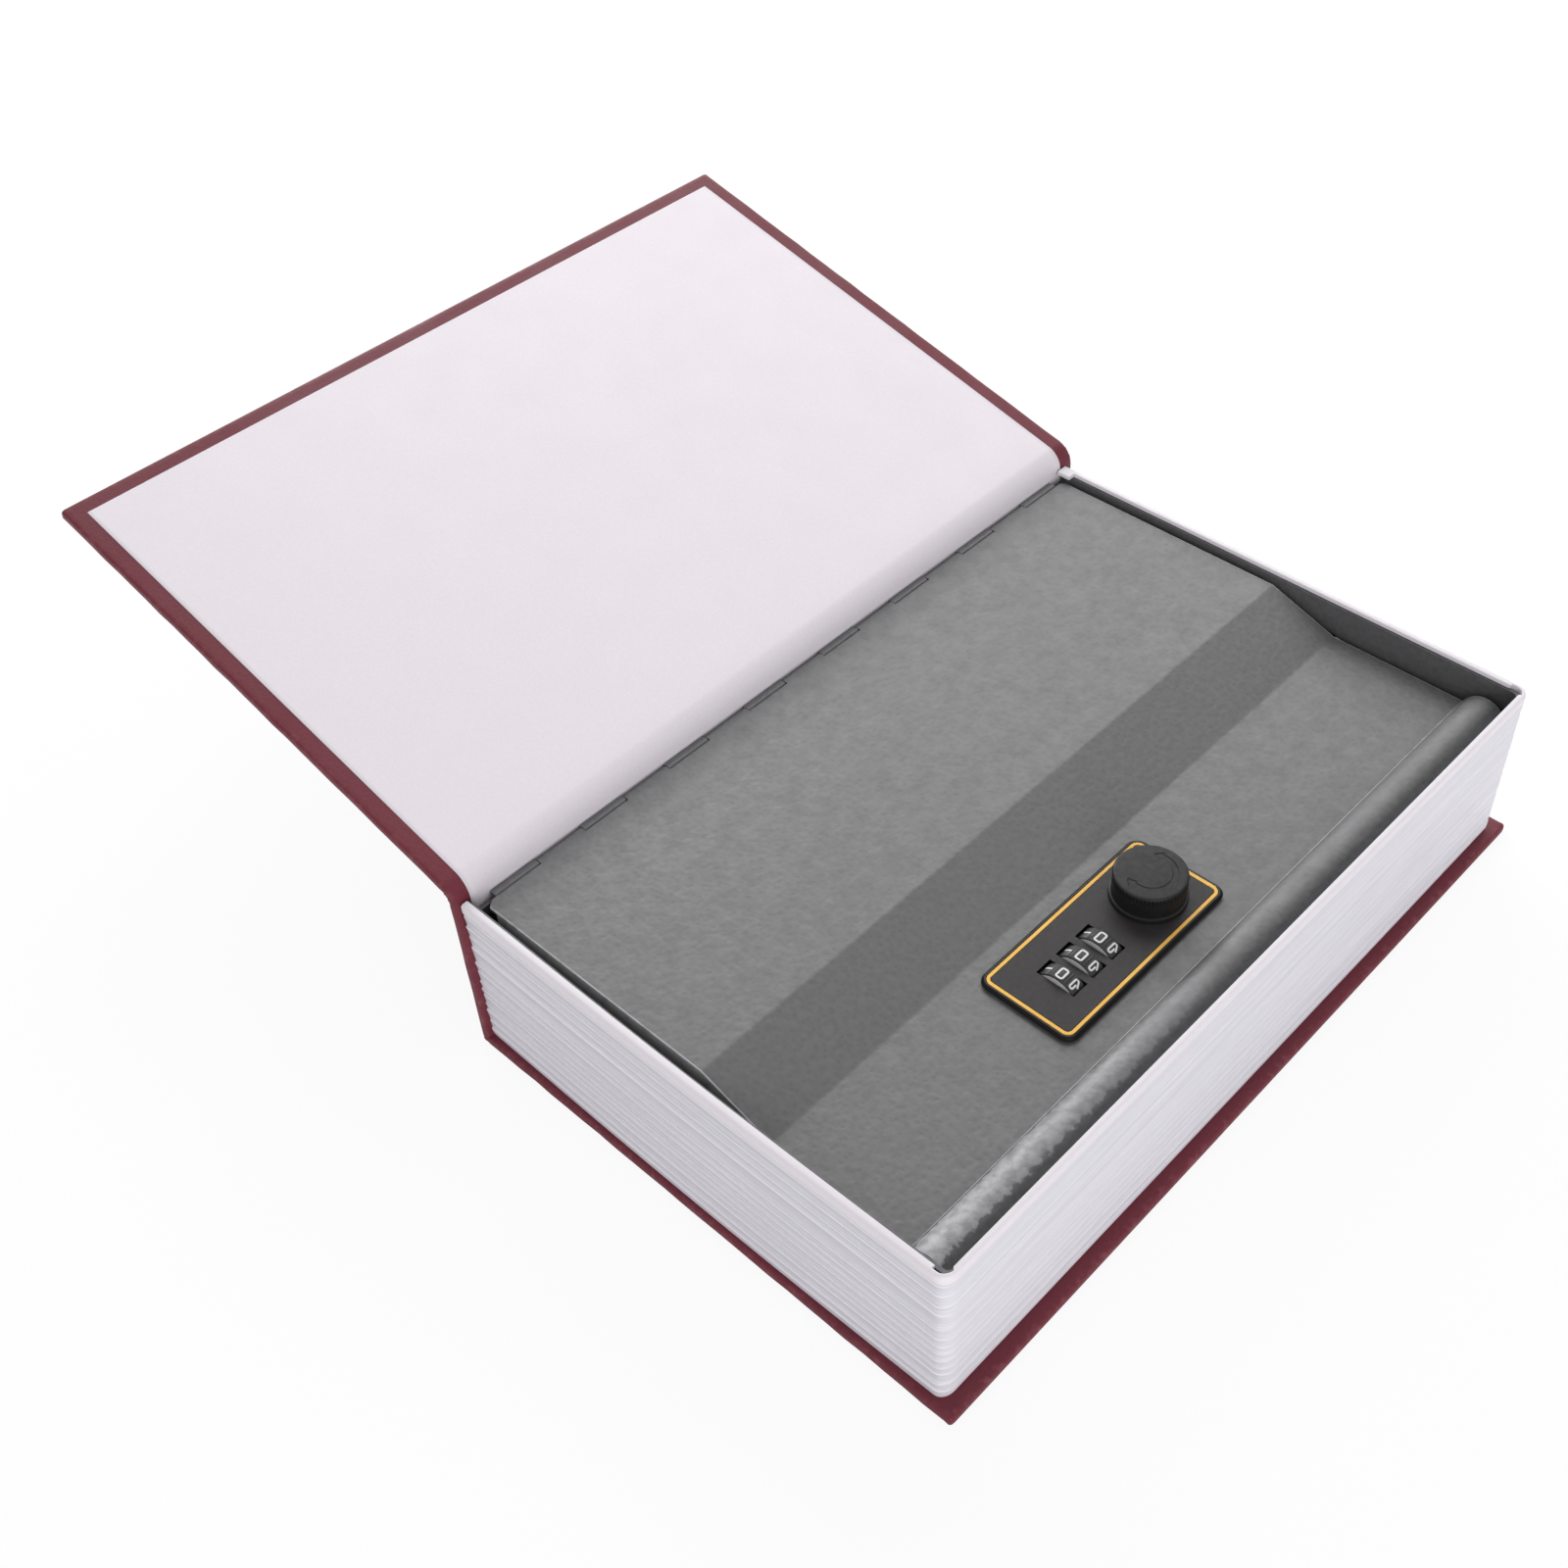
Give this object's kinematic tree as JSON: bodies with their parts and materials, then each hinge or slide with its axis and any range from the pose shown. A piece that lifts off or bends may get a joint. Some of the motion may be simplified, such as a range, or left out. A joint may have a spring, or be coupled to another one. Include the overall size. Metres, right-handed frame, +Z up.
{
  "type": "book safe",
  "caption": "Hardcover book safe with its cover thrown open: a page-block shell holds a steel box with a hinged lid, number wheels and a turn knob.",
  "frame": {"origin": "centre of the back cover's underside, on the table", "axes": "+Z up, +X from the spine to the fore-edge, +Y from the tail to the head of the book"},
  "size_m": [0.3124, 0.24, 0.0971],
  "materials": {
    "leatherette": "burgundy bonded leatherette, fine grain",
    "greyboard": "plain grey board",
    "paper": "smooth off-white endpaper",
    "pages": "white moulded plastic, ridged like page edges",
    "hammered_paint": "grey hammered paint on sheet steel",
    "steel": "zinc-plated",
    "black_plastic": "black moulded plastic",
    "plate_plastic": "dark grey satin plastic",
    "gold_paint": "gold-coloured line filled into the plate",
    "gold_foil": "stamped foil line"
  },
  "bodies": {
    "case": {"case_cloth": "leatherette", "back_board": "greyboard", "spine_board": "greyboard", "back_liner": "paper", "page_block": "pages", "gutter_cloth": "leatherette", "gutter_endpaper": "paper", "steel_box": "hammered_paint", "hinge_pin": "steel", "keeper": "hammered_paint"},
    "cover": {"front_cloth": "leatherette", "front_board": "greyboard", "front_endpaper": "paper", "foil_frame": "gold_foil"},
    "lid": {"lid_panel": "hammered_paint", "lock_plate": "plate_plastic", "border_line": "gold_paint", "lock_case": "black_plastic", "lock_screw_tail": "steel", "lock_screw_head": "steel", "wheel_axle": "steel", "detent_spring": "steel"},
    "dial_1": {"wheel_1": "black_plastic"},
    "dial_2": {"wheel_2": "black_plastic"},
    "dial_3": {"wheel_3": "black_plastic"},
    "turn_knob": {"knob": "black_plastic", "spindle": "steel", "cam_washer": "steel", "latch_cam": "steel", "cam_nut": "steel"}
  },
  "joints": [
    {"name": "cover_hinge", "type": "hinge", "parent": "case", "child": "cover", "pos_m": [-0.0785, 0, 0.0562], "axis": [0, -1, 0], "range_deg": [-165.8, 14.2], "deforming": ["gutter_cloth", "gutter_endpaper"]},
    {"name": "lid_hinge", "type": "hinge", "parent": "case", "child": "lid", "pos_m": [-0.0759, 0, 0.0505], "axis": [0, -1, 0], "range_deg": [0, 90]},
    {"name": "knob_turn", "type": "hinge", "parent": "lid", "child": "turn_knob", "pos_m": [0.0406, -0.0004, 0.046], "axis": [0, 0, 1], "range_deg": [0, 90]},
    {"name": "wheel_1_turn", "type": "hinge", "parent": "lid", "child": "dial_1", "pos_m": [0.0411, -0.035, 0.0407], "axis": [0, 1, 0], "continuous": true},
    {"name": "wheel_2_turn", "type": "hinge", "parent": "lid", "child": "dial_2", "pos_m": [0.0411, -0.02763, 0.0407], "axis": [0, 1, 0], "continuous": true},
    {"name": "wheel_3_turn", "type": "hinge", "parent": "lid", "child": "dial_3", "pos_m": [0.0411, -0.02026, 0.0407], "axis": [0, 1, 0], "continuous": true}
  ]
}
